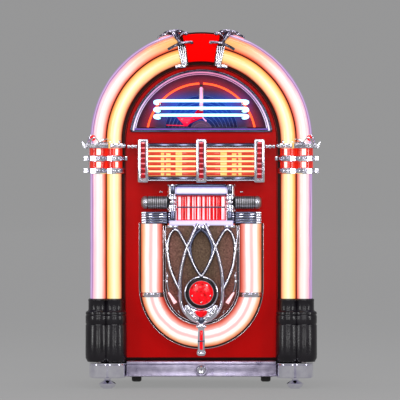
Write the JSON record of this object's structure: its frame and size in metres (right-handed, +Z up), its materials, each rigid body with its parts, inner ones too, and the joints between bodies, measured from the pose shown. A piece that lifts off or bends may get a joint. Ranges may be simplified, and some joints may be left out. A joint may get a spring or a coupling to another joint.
{
  "type": "jukebox",
  "caption": "Full-size arched floor jukebox with lit side tubes, neon window, record changer, selector keys, U-shaped light tube and chrome grille on a hinged front door.",
  "frame": {"origin": "on the floor under the middle of the cabinet's bounding box", "axes": "+Z up, +X to the viewer's right, +Y towards the back; the front faces -Y"},
  "size_m": [0.96, 0.64, 1.441],
  "materials": {
    "red_lacquer": "deep gloss red lacquer",
    "keystone_red": "bright gloss red moulding",
    "black_gloss": "piano black gloss",
    "chrome": "polished chrome plate",
    "door_board": "lacquered fibreboard, dark red",
    "cabinet_wood": "red stained veneer, satin",
    "raw_board": "unpainted fibreboard",
    "black_metal": "satin black paint",
    "tube_pink": "translucent pink-white acrylic, lit from inside",
    "tube_cream": "translucent cream-yellow acrylic, lit from inside",
    "tube_peach": "translucent peach acrylic, lit from inside",
    "sleeve_red": "translucent red acrylic sleeve",
    "gem_red": "cut red gem plastic",
    "window_glass": "clear glass, thin",
    "lamp_white": "opal white, lit",
    "key_white": "backlit white-pink key",
    "card_stock": "backlit cream title strips",
    "grille_cloth": "brown woven speaker cloth",
    "neon_glass": "lit neon glass tube",
    "vinyl": "black pressed vinyl",
    "mechanism_steel": "plated steel sheet",
    "tonearm_red": "red moulded tonearm",
    "speaker_black": "doped paper cone and black basket",
    "rubber_black": "hard black rubber"
  },
  "bodies": {
    "cabinet": {"cabinet_shell": "cabinet_wood", "base_plinth": "black_metal", "base_rail": "chrome", "column_bases": "chrome", "back_frame": "raw_board", "mechanism_chassis": "mechanism_steel", "record_magazine": "mechanism_steel", "stored_records": "vinyl", "amplifier": "black_metal", "power_transformer": "black_metal", "inlet_panel": "speaker_black", "hinge_cabinet_leaves": "mechanism_steel", "roller_brackets": "mechanism_steel"},
    "front_door": {"door_frame": "door_board", "door_panel": "red_lacquer", "keystone": "keystone_red", "dome_glass": "window_glass", "dome_bezel": "chrome", "outer_tubes": "tube_pink", "inner_tubes": "tube_cream", "tube_lamps": "lamp_white", "claws": "chrome", "collars": "chrome", "collar_sleeves": "sleeve_red", "pedestals": "black_gloss", "title_frame": "chrome", "title_cards": "card_stock", "selector_housing": "chrome", "selector_lamp_bar": "lamp_white", "rib_bars": "chrome", "u_tube": "tube_peach", "u_tube_trim": "chrome", "grille_cloth": "grille_cloth", "grille_baffle": "raw_board", "lattice_grille": "chrome", "medallion_ring": "chrome", "medallion_lens": "gem_red", "shield": "chrome", "drop_bar": "chrome", "woofer": "speaker_black", "neon_tubes": "neon_glass", "hinge_door_leaves": "mechanism_steel"},
    "key_01": {"key_01": "key_white"},
    "key_02": {"key_02": "key_white"},
    "key_03": {"key_03": "key_white"},
    "key_04": {"key_04": "key_white"},
    "key_05": {"key_05": "key_white"},
    "key_06": {"key_06": "key_white"},
    "key_07": {"key_07": "key_white"},
    "key_08": {"key_08": "key_white"},
    "key_09": {"key_09": "key_white"},
    "key_10": {"key_10": "key_white"},
    "lock": {"lock_cylinder": "chrome"},
    "turntable": {"record": "vinyl"},
    "tonearm": {"tonearm": "tonearm_red"},
    "rear_door": {"rear_door": "raw_board"},
    "roller_left": {"roller_left": "rubber_black"},
    "roller_right": {"roller_right": "rubber_black"},
    "foot_left": {"foot_left": "chrome"},
    "foot_right": {"foot_right": "chrome"}
  },
  "joints": [
    {"name": "front_door_hinge", "type": "hinge", "parent": "cabinet", "child": "front_door", "pos_m": [-0.452, -0.159, 0.6], "axis": [0, 0, -1], "range_deg": [0, 100]},
    {"name": "key_01_press", "type": "hinge", "parent": "front_door", "child": "key_01", "pos_m": [-0.0873, -0.262, 0.768], "axis": [1, 0, 0], "range_deg": [0, 3], "stiffness_Nm_per_rad": 1, "springref_deg": -2.86},
    {"name": "key_02_press", "type": "hinge", "parent": "front_door", "child": "key_02", "pos_m": [-0.0679, -0.262, 0.768], "axis": [1, 0, 0], "range_deg": [0, 3], "stiffness_Nm_per_rad": 1, "springref_deg": -2.86},
    {"name": "key_03_press", "type": "hinge", "parent": "front_door", "child": "key_03", "pos_m": [-0.0485, -0.262, 0.768], "axis": [1, 0, 0], "range_deg": [0, 3], "stiffness_Nm_per_rad": 1, "springref_deg": -2.86},
    {"name": "key_04_press", "type": "hinge", "parent": "front_door", "child": "key_04", "pos_m": [-0.0291, -0.262, 0.768], "axis": [1, 0, 0], "range_deg": [0, 3], "stiffness_Nm_per_rad": 1, "springref_deg": -2.86},
    {"name": "key_05_press", "type": "hinge", "parent": "front_door", "child": "key_05", "pos_m": [-0.0097, -0.262, 0.768], "axis": [1, 0, 0], "range_deg": [0, 3], "stiffness_Nm_per_rad": 1, "springref_deg": -2.86},
    {"name": "key_06_press", "type": "hinge", "parent": "front_door", "child": "key_06", "pos_m": [0.0097, -0.262, 0.768], "axis": [1, 0, 0], "range_deg": [0, 3], "stiffness_Nm_per_rad": 1, "springref_deg": -2.86},
    {"name": "key_07_press", "type": "hinge", "parent": "front_door", "child": "key_07", "pos_m": [0.0291, -0.262, 0.768], "axis": [1, 0, 0], "range_deg": [0, 3], "stiffness_Nm_per_rad": 1, "springref_deg": -2.86},
    {"name": "key_08_press", "type": "hinge", "parent": "front_door", "child": "key_08", "pos_m": [0.0485, -0.262, 0.768], "axis": [1, 0, 0], "range_deg": [0, 3], "stiffness_Nm_per_rad": 1, "springref_deg": -2.86},
    {"name": "key_09_press", "type": "hinge", "parent": "front_door", "child": "key_09", "pos_m": [0.0679, -0.262, 0.768], "axis": [1, 0, 0], "range_deg": [0, 3], "stiffness_Nm_per_rad": 1, "springref_deg": -2.86},
    {"name": "key_10_press", "type": "hinge", "parent": "front_door", "child": "key_10", "pos_m": [0.0873, -0.262, 0.768], "axis": [1, 0, 0], "range_deg": [0, 3], "stiffness_Nm_per_rad": 1, "springref_deg": -2.86},
    {"name": "lock_turn", "type": "hinge", "parent": "cabinet", "child": "lock", "pos_m": [0, -0.25, 0.075], "axis": [0, -1, 0], "range_deg": [0, 90]},
    {"name": "record_spin", "type": "hinge", "parent": "cabinet", "child": "turntable", "pos_m": [0, -0.14, 1.031], "axis": [0, 1, 0], "continuous": true},
    {"name": "tonearm_swing", "type": "hinge", "parent": "cabinet", "child": "tonearm", "pos_m": [0, -0.155, 1.13], "axis": [0, -1, 0], "range_deg": [0, 54]},
    {"name": "rear_door_hinge", "type": "hinge", "parent": "cabinet", "child": "rear_door", "pos_m": [-0.322, 0.31, 0.6], "axis": [0, 0, 1], "range_deg": [0, 110]},
    {"name": "roller_left_spin", "type": "hinge", "parent": "cabinet", "child": "roller_left", "pos_m": [-0.268, 0.18, 0.03], "axis": [1, 0, 0], "continuous": true},
    {"name": "roller_right_spin", "type": "hinge", "parent": "cabinet", "child": "roller_right", "pos_m": [0.268, 0.18, 0.03], "axis": [1, 0, 0], "continuous": true},
    {"name": "foot_left_level", "type": "slide", "parent": "cabinet", "child": "foot_left", "axis": [0, 0, -1], "range_m": [0, 0.02]},
    {"name": "foot_right_level", "type": "slide", "parent": "cabinet", "child": "foot_right", "axis": [0, 0, -1], "range_m": [0, 0.02]}
  ]
}
